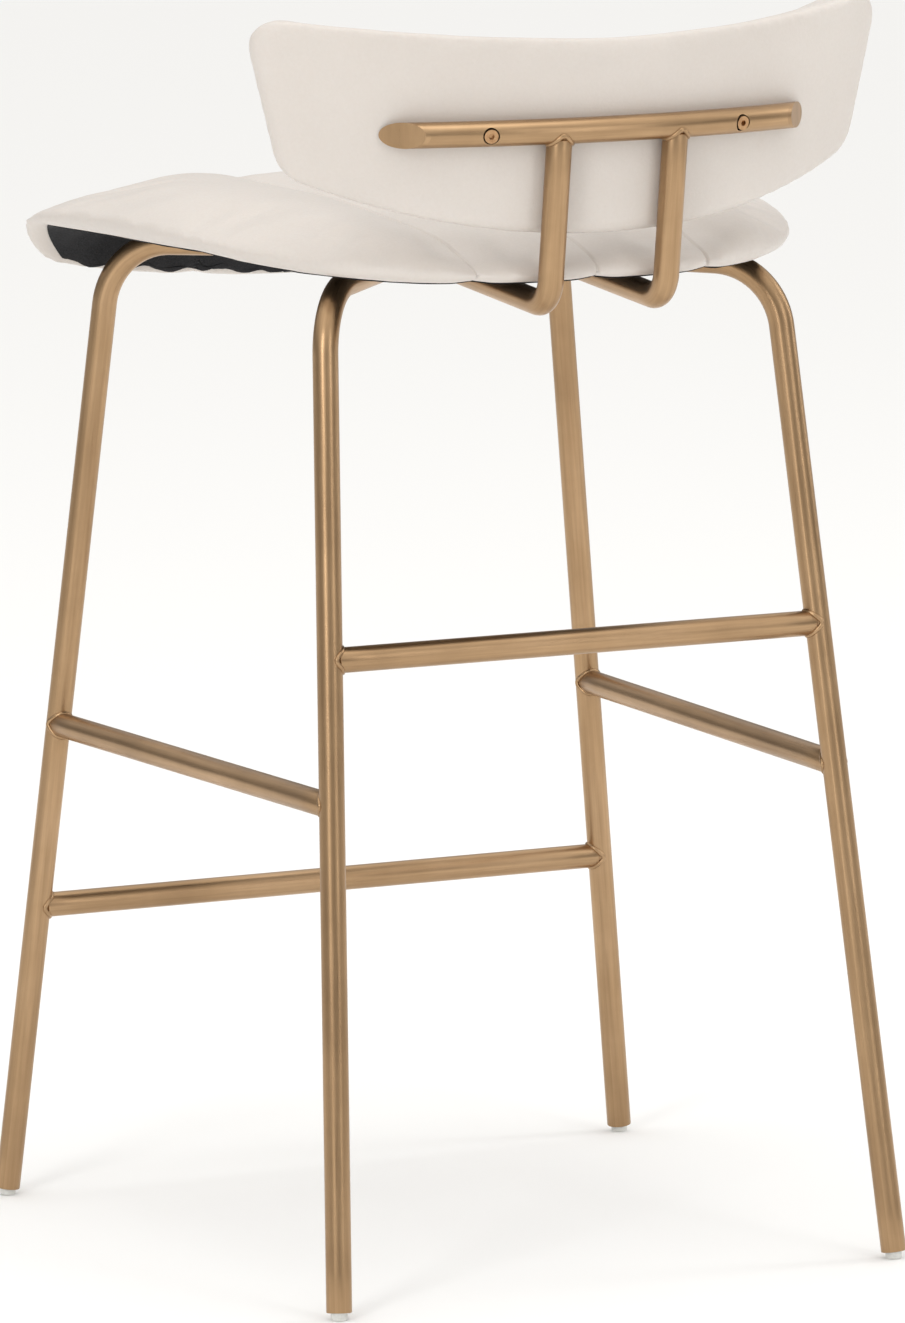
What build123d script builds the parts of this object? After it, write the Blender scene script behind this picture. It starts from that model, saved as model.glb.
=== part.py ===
from build123d import *
import os
from math import asin, cos, degrees, radians, sin, sqrt, tan

# Bar stool with a footrest: a welded frame of round brass-finished steel tube, an upholstered
# seat on a bent plywood shell, and a curved upholstered back on a cross bar.
# Millimetres. +Z is up, the sitter faces -Y, +X is the sitter's left.
# The floor is z = 0, and the origin is below the middle of the overall box.

# ---------------------------------------------------------------- driving dimensions
tube_d = 19.0                 # outside diameter of every frame tube
tube_wall = 1.5
cope_gap = 0.05               # between a coped tube end and the tube it is welded to
seated_gap = 0.3              # clearance between nested soft layers

glide_height = 5.5            # how far a glide stands below its tube
glide_d = 12.4
glide_chamfer = 1.0
glide_stem_d = 8.0
glide_stem_length = 12.0
plug_thickness = 4.0          # closing disc in the foot of each leg

hub_height = 748.8            # centre height of the four upper runs where they end
hub_y = -29.0                 # the point they aim at, on the middle plane
front_foot = (265.8, -273.4)  # (x, y) of a leg's centre line at its lower end
rear_foot = (229.3, 261.0)
front_top = (188.8, -221.0)   # (x, y) where the centre line would meet its upper run
rear_top = (184.9, 159.6)
front_run_rise = 3.8          # climb of each upper run from the leg to the hub
rear_run_rise = 6.3
leg_bend_radius = 55.0
run_stop_radius = 34.0        # the runs end this far from the hub

footrest_height = 228.5       # centre of the front rail
side_rail_height = 371.0
rear_rail_height = 476.0

plate_width = 100.0
plate_thickness = 4.0
plate_corner = 12.0
plate_bolt_spacing = 76.0     # across the hub, between the diagonal runs
plate_bolt_d = 6.0
bolt_clearance = 0.6          # how much wider than its bolt a hole is

support_spacing = 94.0        # centre to centre of the two back supports
support_lean = 0.154          # rearward travel of the back per unit of height
support_bend_radius = 22.0
support_run_slope = 0.08
support_run_drop = 12.3       # centre of the run below hub_height at support_run_station
support_run_station = 201.4
support_run_end = 33.0        # front end of the run, just behind the hub

bar_above_seat = 99.0         # bar centre above the seat's level underside
bar_middle_y = 273.4          # bar centre line at x = 0
bar_curve_radius = 450.0
bar_half_width = 160.0        # to the middle of each oblique end
bar_end_angle = 60.0          # end faces turn rearwards by this much from a square cut
bar_cap_thickness = 2.0
bar_bolt_spacing = 200.0
bar_bolt_d = 6.0
bar_bolt_head_d = 10.4
bar_bolt_head_height = 5.0
bar_bolt_pocket_d = 12.4
bar_bolt_length = 26.0
bar_spacer_d = 10.4
hex_socket = 4.0
hex_socket_depth = 2.6

# Heights on the backrest are measured from the bar's centre.
back_half_width = 256.0
back_top_middle = 69.0        # top edge at the middle
back_top_radius = 1800.0      # concave top edge
back_bottom_middle = -81.0
back_bottom_radius = 600.0    # convex bottom edge
back_side_lower = (221.0, -39.5)
back_side_upper = (257.0, 62.5)
back_top_corner = 20.0
back_low_corner = 34.0
back_thickness = 38.0
back_edge_round = 9.0
back_core_thickness = 9.0
back_rear_padding = 4.0
cover_thickness = 1.3

# Heights on the seat are measured from its level underside.
seat_front_y = -270.6
seat_rear_y = 240.5
seat_front_half_width = 262.0
seat_shoulder = (250.0, 88.0)       # where the sides begin to turn in
seat_rear_corner_x = 138.0
seat_front_round = 62.0
seat_shoulder_round = 320.0
seat_rear_round = 165.0
seat_under_rear = -16.3             # underside at the rear edge
seat_level_rear = 40.0              # the underside is level between these two stations
seat_level_front = -208.0
seat_level_round = 400.0
seat_hem = (-243.0, -51.5)          # (y, height) of the shell's lower front edge
seat_waterfall_radius = 40.0
seat_top_rear = 7.0
seat_top_middle = (20.0, 29.0)
seat_crest = (-200.0, 32.5)
seat_nose = (-270.6, -23.5)
seat_nose_low = (-254.0, -53.5)
seat_nose_bulge = 14.0              # how full the rounded front is
seat_chin_bulge = 5.0
seat_front_lift = 19.0              # how much higher the front hem is at the sides
seat_seam_rear = 94.0               # half-spacing of the two outer seams at the back edge
seat_seam_front = 109.0
board_thickness = 10.0
hem_width = 24.0                    # leather turned under the board
dust_cover_thickness = 0.6
dust_cover_inset = 9.0
dust_cover_rise = 4.0               # bottom edge of the cloth above the front hem
seat_bolt_length = 14.0
seat_bolt_head_d = 10.0
seat_bolt_head_height = 4.0
t_nut_d = 8.0
t_nut_flange_d = 18.0
t_nut_flange = 1.2

weld_leg = 4.5                      # size of the smooth weld fillets
weld_width = 0.86                   # width of a weld as a share of the tube's
beyond = 200.0                      # how far cutting solids reach past what they cut

# ---------------------------------------------------------------- derived values
tube_r = tube_d / 2
bore_r = tube_r - tube_wall
foot_z = glide_height
plate_low = hub_height + tube_r
plate_high = plate_low + plate_thickness
seat_z = plate_high + dust_cover_thickness + 2 * seated_gap
bar_height = seat_z + bar_above_seat
layer = cover_thickness + seated_gap
legs = {
    "front_left": (front_foot, front_top, front_run_rise, 1),
    "front_right": (front_foot, front_top, front_run_rise, -1),
    "rear_left": (rear_foot, rear_top, rear_run_rise, 1),
    "rear_right": (rear_foot, rear_top, rear_run_rise, -1),
}


def leg_line(leg, z):
    """Point on a leg's centre line at height z."""
    foot, top, rise, side = legs[leg]
    share = (z - foot_z) / (hub_height - rise - foot_z)
    x = foot[0] + (top[0] - foot[0]) * share
    y = foot[1] + (top[1] - foot[1]) * share
    return Vector(side * x, y, z)


def leg_points(leg):
    """Corners of a leg's centre line, from the foot to the inner end of its upper run."""
    rise = legs[leg][2]
    corner = leg_line(leg, hub_height - rise)
    flat = Vector(-corner.X, hub_y - corner.Y, 0)
    end = corner + flat * (1 - run_stop_radius / flat.length)
    return [leg_line(leg, foot_z), corner, Vector(end.X, end.Y, hub_height)]


def swept_tube(points, bend, outer_r, inner_r=0.0):
    """Round tube, or a solid bar when inner_r is 0, along straight runs joined by arcs."""
    with BuildPart() as tube:
        with BuildLine() as path:
            if len(points) > 2:
                FilletPolyline(*points, radius=bend)
            else:
                Line(*points)
        with BuildSketch(Plane(origin=path.line @ 0, z_dir=path.line % 0)):
            Circle(outer_r)
            if inner_r > 0:
                Circle(inner_r, mode=Mode.SUBTRACT)
        sweep(path=path.line)
    return tube.part


def finish(part, name):
    part.label = name
    export_step(part, f"parts/{name}.step")


os.makedirs("parts", exist_ok=True)

# ---------------------------------------------------------------- legs
leg_bars = {}
leg_copes = {}
for leg in legs:
    leg_bars[leg] = swept_tube(leg_points(leg), leg_bend_radius, tube_r)
    leg_copes[leg] = swept_tube(leg_points(leg), leg_bend_radius, tube_r + cope_gap)
    finish(swept_tube(leg_points(leg), leg_bend_radius, tube_r, bore_r), f"leg_{leg}")

# ---------------------------------------------------------------- glides and foot plugs
def foot_plane(leg):
    low = leg_line(leg, foot_z)
    return Plane(origin=low, z_dir=(leg_line(leg, foot_z + 1) - low).normalized())


for leg in legs:
    low = leg_line(leg, foot_z)
    with BuildPart() as glide:
        with BuildSketch(Plane.XY.shift_origin((low.X, low.Y, 0))):
            Circle(glide_d / 2)
        extrude(amount=glide_height * 2)
        chamfer(glide.edges().sort_by(Axis.Z)[0], glide_chamfer)
        with BuildSketch(foot_plane(leg)):
            Rectangle(tube_d * 2, tube_d * 2)
        extrude(amount=tube_d, mode=Mode.SUBTRACT)
        with BuildSketch(foot_plane(leg)):
            Circle(glide_stem_d / 2)
        extrude(amount=glide_stem_length)
    finish(glide.part, f"glide_{leg}")

with BuildPart() as foot_plugs:
    for leg in legs:
        with BuildSketch(foot_plane(leg)):
            Circle(bore_r)
            Circle(glide_stem_d / 2, mode=Mode.SUBTRACT)
        extrude(amount=plug_thickness)
finish(foot_plugs.part, "foot_plugs")

# ---------------------------------------------------------------- rails and their weld fillets
rails = {
    "footrest_bar": ("front_left", "front_right", footrest_height),
    "side_rail_left": ("front_left", "rear_left", side_rail_height),
    "side_rail_right": ("front_right", "rear_right", side_rail_height),
    "rear_rail": ("rear_left", "rear_right", rear_rail_height),
}


def weld_ring(joint, along, across, cutters):
    """Concave fillet where a tube, running from joint in direction along, meets another tube
    whose line is across. It is kept within the width of the tubes."""
    width = tube_d * weld_width
    side_way = along.cross(across).normalized()
    with BuildPart() as ring:
        with BuildSketch(Plane(origin=joint, x_dir=along, z_dir=side_way)):
            with BuildLine():
                inner = tube_r * 0.8
                tip = (tube_r + weld_leg, tube_r)
                crown = (inner, tube_r + weld_leg)
                root = (tube_r, tube_r + weld_leg)
                Polyline(tip, (tip[0], tube_r - 1), (inner, tube_r - 1), crown, root)
                RadiusArc(root, tip, weld_leg)
            make_face()
        revolve(axis=Axis(joint, along))
        with BuildSketch(Plane(origin=joint, x_dir=along, z_dir=side_way)):
            Rectangle(tube_d * 4, tube_d * 4)
        extrude(amount=width / 2, both=True, mode=Mode.INTERSECT)
        for cutter in cutters:
            add(cutter, mode=Mode.SUBTRACT)
    return ring.part


weld_rings = []
for rail, (start_leg, end_leg, height) in rails.items():
    start = leg_line(start_leg, height)
    end = leg_line(end_leg, height)
    bar = swept_tube([start, end], 0, tube_r)
    with BuildPart() as tube:
        add(swept_tube([start, end], 0, tube_r, bore_r))
        add(leg_copes[start_leg], mode=Mode.SUBTRACT)
        add(leg_copes[end_leg], mode=Mode.SUBTRACT)
    finish(tube.part, rail)
    for leg, joint, far in ((start_leg, start, end), (end_leg, end, start)):
        up = leg_line(leg, height + 1) - joint
        weld_rings.append(weld_ring(joint, (far - joint).normalized(), up, [bar, leg_bars[leg]]))

with BuildPart() as rail_welds:
    for ring in weld_rings:
        add(ring)
finish(rail_welds.part, "rail_welds")

# ---------------------------------------------------------------- back supports
def back_line(side, z):
    """Point on a support's leaning upright at height z."""
    y = bar_middle_y - support_offset + support_lean * (z - bar_height)
    return Vector(side * support_spacing / 2, y, z)


support_offset = bar_curve_radius - sqrt(bar_curve_radius ** 2 - (support_spacing / 2) ** 2)
support_run_height = hub_height - support_run_drop
run_corner_z = support_run_height
for _ in range(20):
    corner_y = back_line(1, run_corner_z).Y
    run_corner_z = support_run_height - support_run_slope * (corner_y - support_run_station)

# The bar is bent in plan, with both ends sawn obliquely and closed by welded discs.
bar_angle = degrees(asin(bar_half_width / bar_curve_radius))
bar_centre = (0, bar_middle_y - bar_curve_radius)


def bar_body(outer_r, inner_r, trim):
    """Curved bar between its two oblique ends, each shortened by trim."""
    with BuildPart() as bar:
        with BuildLine(Plane.XY.offset(bar_height)) as path:
            CenterArc(bar_centre, bar_curve_radius, 90 - bar_angle * 1.2, bar_angle * 2.4)
        with BuildSketch(Plane(origin=path.line @ 0, z_dir=path.line % 0)):
            Circle(outer_r)
            if inner_r > 0:
                Circle(inner_r, mode=Mode.SUBTRACT)
        sweep(path=path.line)
        for side in (1, -1):
            turn = radians(90 - side * bar_angle)
            tip = Vector(
                bar_curve_radius * cos(turn),
                bar_centre[1] + bar_curve_radius * sin(turn),
                bar_height,
            )
            face = radians(bar_angle - bar_end_angle)
            out = Vector(side * cos(face), -sin(face), 0)
            with BuildSketch(Plane(origin=tip - out * trim, z_dir=out)):
                Rectangle(tube_d * 6, tube_d * 6)
            extrude(amount=tube_d * 6, mode=Mode.SUBTRACT)
    return bar.part


bar_solid = bar_body(tube_r, 0, 0)
right_low = back_line(-1, run_corner_z)
run_z = support_run_height + support_run_slope * (support_run_station - support_run_end)
support_points = [
    back_line(-1, bar_height),
    right_low,
    Vector(right_low.X, support_run_end, run_z),
]
with BuildPart() as back_support_right:
    add(swept_tube(support_points, support_bend_radius, tube_r, bore_r))
    add(bar_body(tube_r + cope_gap, 0, 0), mode=Mode.SUBTRACT)
    add(leg_copes["rear_right"], mode=Mode.SUBTRACT)
finish(back_support_right.part, "back_support_right")
with BuildPart() as back_support_left:
    mirror(back_support_right.part, about=Plane.YZ)
finish(back_support_left.part, "back_support_left")

support_solid = swept_tube(support_points, support_bend_radius, tube_r)
support_bars = {-1: support_solid, 1: support_solid.mirror(Plane.YZ)}
support_rings = []
for side in (1, -1):
    joint = back_line(side, bar_height)
    down = (back_line(side, bar_height - 1) - joint).normalized()
    slant = asin(side * support_spacing / 2 / bar_curve_radius)
    bar_way = Vector(cos(slant), -sin(slant), 0)
    support_rings.append(weld_ring(joint, down, bar_way, [bar_solid, support_bars[side]]))
with BuildPart() as support_welds:
    for ring in support_rings:
        add(ring)
finish(support_welds.part, "support_welds")


# Every layer of the back lies between two cylinders about this leaning axis.
back_plane = Plane(
    origin=(0, bar_centre[1], bar_height),
    x_dir=(1, 0, 0),
    z_dir=(0, support_lean, 1),
)
back_rear_radius = bar_curve_radius * back_plane.z_dir.Z - tube_r - seated_gap


def bolt_plane(side, depth):
    """Plane across a back bolt. Its Z looks rearwards, square to the back, and depth is measured
    back from the bar's centre line."""
    half = bar_bolt_spacing / 2
    out = Vector(side * half, sqrt(bar_curve_radius ** 2 - half ** 2), 0)
    middle = back_plane.origin + out
    out = (out - back_plane.z_dir * out.dot(back_plane.z_dir)).normalized()
    return Plane(origin=middle + out * depth, x_dir=(out.Y, -out.X, 0), z_dir=out)


pocket_floor = tube_r - bar_bolt_head_height
with BuildPart() as back_bar:
    add(bar_body(tube_r, bore_r, bar_cap_thickness))
    for side in (1, -1):
        with BuildSketch(bolt_plane(side, 0)):
            Circle(bar_bolt_pocket_d / 2)
        extrude(amount=tube_d, mode=Mode.SUBTRACT)
        with BuildSketch(bolt_plane(side, 0)):
            Circle((bar_bolt_d + bolt_clearance) / 2)
        extrude(amount=-tube_d, mode=Mode.SUBTRACT)
finish(back_bar.part, "back_bar")

with BuildPart() as bar_end_caps:
    add(bar_solid)
    add(bar_body(tube_r, 0, bar_cap_thickness), mode=Mode.SUBTRACT)
finish(bar_end_caps.part, "bar_end_caps")

# Turned spacer inside the bar under each bolt head, so that the tube isn't crushed.
spacer_depth = sqrt(bore_r ** 2 - (bar_spacer_d / 2) ** 2) - 0.1
with BuildPart() as bar_spacers:
    for side in (1, -1):
        with BuildSketch(bolt_plane(side, -spacer_depth)):
            Circle(bar_spacer_d / 2)
            Circle((bar_bolt_d + bolt_clearance) / 2, mode=Mode.SUBTRACT)
        extrude(amount=spacer_depth + pocket_floor)
finish(bar_spacers.part, "bar_spacers")

with BuildPart() as back_bolts:
    for side in (1, -1):
        with BuildSketch(bolt_plane(side, pocket_floor)):
            Circle(bar_bolt_head_d / 2)
        extrude(amount=bar_bolt_head_height)
        with BuildSketch(bolt_plane(side, pocket_floor)):
            Circle(bar_bolt_d / 2)
        extrude(amount=-bar_bolt_length)
        with BuildSketch(bolt_plane(side, pocket_floor + bar_bolt_head_height)):
            RegularPolygon(hex_socket / 2, 6, major_radius=False)
        extrude(amount=-hex_socket_depth, mode=Mode.SUBTRACT)
finish(back_bolts.part, "back_bolts")

# ---------------------------------------------------------------- seat plate
with BuildPart() as mount_plate:
    with BuildSketch(Plane.XY.shift_origin((0, hub_y, 0)).offset(plate_low)):
        RectangleRounded(plate_width, plate_width, plate_corner)
        with GridLocations(plate_bolt_spacing, 0, 2, 1):
            Circle((plate_bolt_d + bolt_clearance) / 2, mode=Mode.SUBTRACT)
        with GridLocations(0, plate_bolt_spacing, 1, 2):
            Circle((plate_bolt_d + bolt_clearance) / 2, mode=Mode.SUBTRACT)
    extrude(amount=plate_thickness)
finish(mount_plate.part, "mount_plate")

# ---------------------------------------------------------------- seat
def seat_outline(inset):
    """Plan of the seat: a broad straight front and a rounded, narrower back."""
    outline = [
        (seat_front_half_width, seat_front_y),
        seat_shoulder,
        (seat_rear_corner_x, seat_rear_y),
    ]
    mirrored = [(-x, y) for x, y in reversed(outline)]
    rounds = [seat_front_round, seat_shoulder_round, seat_rear_round]
    with BuildSketch() as plan:
        with BuildLine():
            FilletPolyline(*outline, *mirrored, radius=[*rounds, *reversed(rounds)], close=True)
        make_face()
        if inset > 0:
            offset(amount=-inset)
    return plan.sketch


def underside(shift, closed_at=None):
    """Side view of the seat's underside, from behind the back edge to the front hem. A positive
    shift moves it into the seat, and a negative one out of it. With closed_at, it is closed into
    an outline at that height."""
    slope = seat_under_rear / (seat_rear_y - seat_level_rear)
    over = 20.0
    with BuildLine(Plane.XY.offset(0)) as line:
        FilletPolyline(
            (seat_rear_y + over, seat_z + seat_under_rear + slope * over),
            (seat_level_rear, seat_z),
            (seat_level_front, seat_z),
            (seat_hem[0], seat_z + seat_hem[1]),
            radius=[seat_level_round, seat_waterfall_radius],
        )
        if shift != 0:
            way = Side.RIGHT if shift > 0 else Side.LEFT
            offset(amount=abs(shift), side=way, closed=False, mode=Mode.REPLACE)
        if closed_at is not None:
            hem, back = sorted((line.line @ 0, line.line @ 1), key=lambda point: point.X)
            Polyline(hem, (hem.X, closed_at), (back.X, closed_at), back)
    return line.line


def seat_blank(inset):
    """Whole upholstered seat, or a layer inside it when inset is more than 0."""
    low_z = seat_z + seat_nose_low[1] + inset
    half = seat_front_half_width + tube_d
    crest = (seat_crest[0], seat_z + seat_crest[1])
    nose = (seat_nose[0], seat_z + seat_nose[1])
    chin = (seat_nose_low[0], seat_z + seat_nose_low[1])
    brow_mid = ((crest[0] + nose[0]) / 2 - seat_nose_bulge, crest[1] - seat_nose_bulge)
    chin_mid = ((nose[0] + chin[0]) / 2 - seat_chin_bulge, (nose[1] + 2 * chin[1]) / 3)
    with BuildPart() as seat:
        with BuildSketch(Plane.XY.offset(low_z - beyond)):
            add(seat_outline(inset))
        extrude(amount=2 * beyond)
        with BuildSketch(Plane.YZ):
            with BuildLine():
                low = underside(0)
                hem, back = sorted((low @ 0, low @ 1), key=lambda point: point.X)
                add(low)
                top_back = (back.X, seat_z + seat_top_rear)
                Line(back, top_back)
                ThreePointArc(top_back, (seat_top_middle[0], seat_z + seat_top_middle[1]), crest)
                ThreePointArc(crest, brow_mid, nose)
                ThreePointArc(nose, chin_mid, chin)
                Line(chin, hem)
            make_face()
            if inset > 0:
                offset(amount=-inset)
        extrude(amount=half, both=True, mode=Mode.INTERSECT)
        with BuildSketch(Plane.XZ):
            with BuildLine():
                ends = ((-half, low_z + seat_front_lift), (half, low_z + seat_front_lift))
                ThreePointArc(ends[0], (0, low_z), ends[1])
                Polyline(ends[1], (half, low_z + beyond), (-half, low_z + beyond), ends[0])
            make_face()
        extrude(amount=2 * beyond, both=True, mode=Mode.INTERSECT)
    return seat.part


def below_shell(shift):
    """Everything under the seat's underside line moved in by shift, as a cutting solid."""
    with BuildPart() as under:
        with BuildSketch(Plane.YZ):
            with BuildLine():
                add(underside(shift, closed_at=seat_z - beyond))
            make_face()
        extrude(amount=2 * beyond, both=True)
    return under.part


bolt_spots = [
    (plate_bolt_spacing / 2, hub_y),
    (-plate_bolt_spacing / 2, hub_y),
    (0, hub_y + plate_bolt_spacing / 2),
    (0, hub_y - plate_bolt_spacing / 2),
]


def seat_bolt_holes(diameter, low, high):
    """Round cutters on the four seat bolts between two heights."""
    with BuildPart() as holes:
        with BuildSketch(Plane.XY.offset(low)):
            with Locations(*bolt_spots):
                Circle(diameter / 2)
        extrude(amount=high - low)
    return holes.part


board_low = seat_z + layer
board_high = board_low + board_thickness
seat_core = seat_blank(layer)

with BuildPart() as seat_board:
    add(seat_core)
    add(below_shell(layer), mode=Mode.SUBTRACT)
    add(below_shell(layer + board_thickness), mode=Mode.INTERSECT)
    add(seat_bolt_holes(t_nut_d + 0.2, board_low - 1, board_high + 1), mode=Mode.SUBTRACT)
finish(seat_board.part, "seat_board")

with BuildPart() as seat_foam:
    add(seat_core)
    add(below_shell(layer + board_thickness + seated_gap), mode=Mode.SUBTRACT)
    add(seat_bolt_holes(t_nut_flange_d + 2, board_high - 1, board_high + 2), mode=Mode.SUBTRACT)
finish(seat_foam.part, "seat_foam")

# The leather is turned under the board by hem_width all round.
with BuildPart() as seat_skin:
    add(seat_blank(0))
    add(seat_blank(cover_thickness), mode=Mode.SUBTRACT)
    with BuildSketch(Plane.XY.offset(seat_z + seat_hem[1] + hem_width)):
        add(seat_outline(hem_width))
    extrude(amount=cover_thickness * 2 - seat_hem[1] - hem_width, mode=Mode.SUBTRACT)

far = seat_front_half_width + tube_d
front_seam = (seat_seam_front, seat_front_y)
back_seam = (seat_seam_rear, seat_rear_y)
panels = {
    "seat_cover_centre": [(0, seat_front_y), front_seam, back_seam, (0, seat_rear_y)],
    "seat_cover_wing": [front_seam, (far, seat_front_y), (far, seat_rear_y), back_seam],
}
for panel, corners in panels.items():
    with BuildPart() as right_cover:
        add(seat_skin.part)
        with BuildSketch(Plane.XY.offset(seat_z - beyond)):
            Polygon(*[(-x, y) for x, y in corners], align=None)
        extrude(amount=2 * beyond, mode=Mode.INTERSECT)
    finish(right_cover.part, f"{panel}_right")
    with BuildPart() as left_cover:
        mirror(right_cover.part, about=Plane.YZ)
    finish(left_cover.part, f"{panel}_left")

with BuildPart() as dust_cover:
    with BuildSketch(Plane.XY.offset(seat_z + seat_hem[1] + dust_cover_rise)):
        add(seat_outline(dust_cover_inset))
    extrude(amount=beyond)
    add(below_shell(-seated_gap), mode=Mode.INTERSECT)
    add(below_shell(-seated_gap - dust_cover_thickness), mode=Mode.SUBTRACT)
    add(
        seat_bolt_holes(plate_bolt_d + bolt_clearance, plate_low, seat_z),
        mode=Mode.SUBTRACT,
    )
finish(dust_cover.part, "dust_cover")

with BuildPart() as seat_bolts:
    add(seat_bolt_holes(seat_bolt_head_d, plate_low - seat_bolt_head_height, plate_low))
    add(seat_bolt_holes(plate_bolt_d, plate_low, plate_low + seat_bolt_length))
    with BuildSketch(Plane.XY.offset(plate_low - seat_bolt_head_height)):
        with Locations(*bolt_spots):
            RegularPolygon(hex_socket / 2, 6, major_radius=False)
    extrude(amount=hex_socket_depth, mode=Mode.SUBTRACT)
finish(seat_bolts.part, "seat_bolts")

with BuildPart() as seat_t_nuts:
    add(seat_bolt_holes(t_nut_d, board_low + 1, board_high))
    add(seat_bolt_holes(t_nut_flange_d, board_high, board_high + t_nut_flange))
    add(seat_bolt_holes(plate_bolt_d + 0.2, board_low, board_high + 2), mode=Mode.SUBTRACT)
finish(seat_t_nuts.part, "seat_t_nuts")

# ---------------------------------------------------------------- backrest
def back_band(rear_depth, front_depth):
    """Half ring between two depths measured forward from the rear face, taller than the back."""
    reach = back_half_width * 2
    with BuildPart() as band:
        with BuildSketch(back_plane):
            Circle(back_rear_radius - rear_depth)
            Circle(back_rear_radius - front_depth, mode=Mode.SUBTRACT)
            with Locations((0, -reach)):
                Rectangle(4 * reach, 2 * reach, mode=Mode.SUBTRACT)
        extrude(amount=beyond, both=True)
    return band.part


def arc_height(radius, x):
    return radius - sqrt(radius ** 2 - x ** 2)


def back_form(inset):
    """Whole upholstered back, or the space inside its cover, with rounded edges."""
    low_x = back_side_lower[0]
    low_z = bar_height + back_side_lower[1]
    high_z = bar_height + back_side_upper[1]
    middle_high = bar_height + back_top_middle - inset
    middle_low = bar_height + back_bottom_middle + inset
    rise = (back_side_upper[0] - low_x) / (high_z - low_z)
    shift = inset * sqrt(1 + rise ** 2)
    top_z = high_z
    end_z = low_z
    for _ in range(20):
        top_x = low_x + rise * (top_z - low_z) - shift
        end_x = low_x + rise * (end_z - low_z) - shift
        top_z = middle_high + arc_height(back_top_radius + inset, top_x)
        end_z = middle_low + arc_height(back_bottom_radius - inset, end_x)
    with BuildPart() as form:
        add(back_band(inset, back_thickness - inset))
        with BuildSketch(Plane.XZ) as outline:
            with BuildLine():
                ThreePointArc((-top_x, top_z), (0, middle_high), (top_x, top_z))
                Line((top_x, top_z), (end_x, end_z))
                ThreePointArc((end_x, end_z), (0, middle_low), (-end_x, end_z))
                Line((-end_x, end_z), (-top_x, top_z))
            make_face()
            fillet(outline.vertices().group_by(Axis.Y)[-1], back_top_corner - inset)
            fillet(outline.vertices().group_by(Axis.Y)[0], back_low_corner - inset)
        extrude(amount=back_half_width * 2, both=True, mode=Mode.INTERSECT)
        broad_faces = form.faces().sort_by(lambda face: face.area)[-2:]
        fillet(broad_faces[0].edges() + broad_faces[1].edges(), back_edge_round - inset)
    return form.part


back_shell = back_form(0)
back_space = back_form(cover_thickness)
back_filling = back_form(layer)
bolt_reach = back_plane.to_local_coords(bolt_plane(1, 0).origin)
bolt_reach = sqrt(bolt_reach.X ** 2 + bolt_reach.Y ** 2) - back_rear_radius


def back_bolt_holes(diameter, near, far):
    """Round cutters on the two back bolts between two depths into the back."""
    with BuildPart() as holes:
        for side in (1, -1):
            with BuildSketch(bolt_plane(side, -bolt_reach - near)):
                Circle(diameter / 2)
            extrude(amount=near - far)
    return holes.part


seam_depth = back_edge_round + 1
with BuildPart() as back_skin:
    add(back_shell)
    add(back_space, mode=Mode.SUBTRACT)
    add(
        back_bolt_holes(bar_bolt_d + bolt_clearance, -1, seam_depth),
        mode=Mode.SUBTRACT,
    )
for name, rear_depth, front_depth in (
    ("back_cover_rear", -1, seam_depth),
    ("back_cover_front", seam_depth, back_thickness + 1),
):
    with BuildPart() as cover:
        add(back_skin.part)
        add(back_band(rear_depth, front_depth), mode=Mode.INTERSECT)
    finish(cover.part, name)

padding_front = layer + back_rear_padding
core_rear = padding_front + seated_gap
core_front = core_rear + back_core_thickness
foam_rear = core_front + seated_gap
back_layers = {
    "back_padding": (layer, padding_front, bar_bolt_d + bolt_clearance),
    "back_core": (core_rear, core_front, t_nut_d + 0.2),
    "back_foam": (foam_rear, back_thickness - layer, t_nut_flange_d + 2),
}
for name, (rear_depth, front_depth, hole_d) in back_layers.items():
    hole_end = min(front_depth + 1, rear_depth + back_core_thickness + 2)
    if name == "back_foam":
        hole_end = rear_depth + t_nut_flange + 1
    with BuildPart() as filling:
        add(back_filling)
        add(back_band(rear_depth, front_depth), mode=Mode.INTERSECT)
        add(back_bolt_holes(hole_d, rear_depth - 1, hole_end), mode=Mode.SUBTRACT)
    finish(filling.part, name)

with BuildPart() as back_t_nuts:
    add(back_bolt_holes(t_nut_d, core_rear + 1, core_front + 0.2))
    add(back_bolt_holes(t_nut_flange_d, core_front + 0.2, core_front + 0.2 + t_nut_flange))
    add(back_bolt_holes(bar_bolt_d + 0.2, core_rear, core_front + 2), mode=Mode.SUBTRACT)
finish(back_t_nuts.part, "back_t_nuts")
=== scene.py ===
from math import cos, pi, radians, sin, sqrt, tan

import bmesh
import bpy
import numpy as np
from mathutils import Matrix, Vector
from mathutils.bvhtree import BVHTree


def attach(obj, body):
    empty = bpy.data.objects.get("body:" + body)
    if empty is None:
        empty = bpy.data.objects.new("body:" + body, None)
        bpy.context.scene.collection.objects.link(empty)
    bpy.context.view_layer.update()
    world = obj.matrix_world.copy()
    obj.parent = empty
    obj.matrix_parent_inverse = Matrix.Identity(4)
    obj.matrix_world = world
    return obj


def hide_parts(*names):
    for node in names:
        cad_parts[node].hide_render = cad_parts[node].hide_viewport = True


# A bar stool seen from behind: brushed brass tube frame, cream leather seat and back, black dust
# cloth under the seat. Metres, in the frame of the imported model: +Z up, the sitter faces -Y.
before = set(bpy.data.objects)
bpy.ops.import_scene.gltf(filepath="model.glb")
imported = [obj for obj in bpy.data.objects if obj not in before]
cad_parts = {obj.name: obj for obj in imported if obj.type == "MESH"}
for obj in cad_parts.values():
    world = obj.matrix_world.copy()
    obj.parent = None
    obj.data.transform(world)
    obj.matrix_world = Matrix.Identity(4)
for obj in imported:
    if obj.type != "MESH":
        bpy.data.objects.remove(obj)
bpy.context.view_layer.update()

# ---------------------------------------------------------------- sizes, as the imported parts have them
MM = 0.001
TUBE_R = 9.5 * MM
TUBE_WALL = 1.5 * MM
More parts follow.
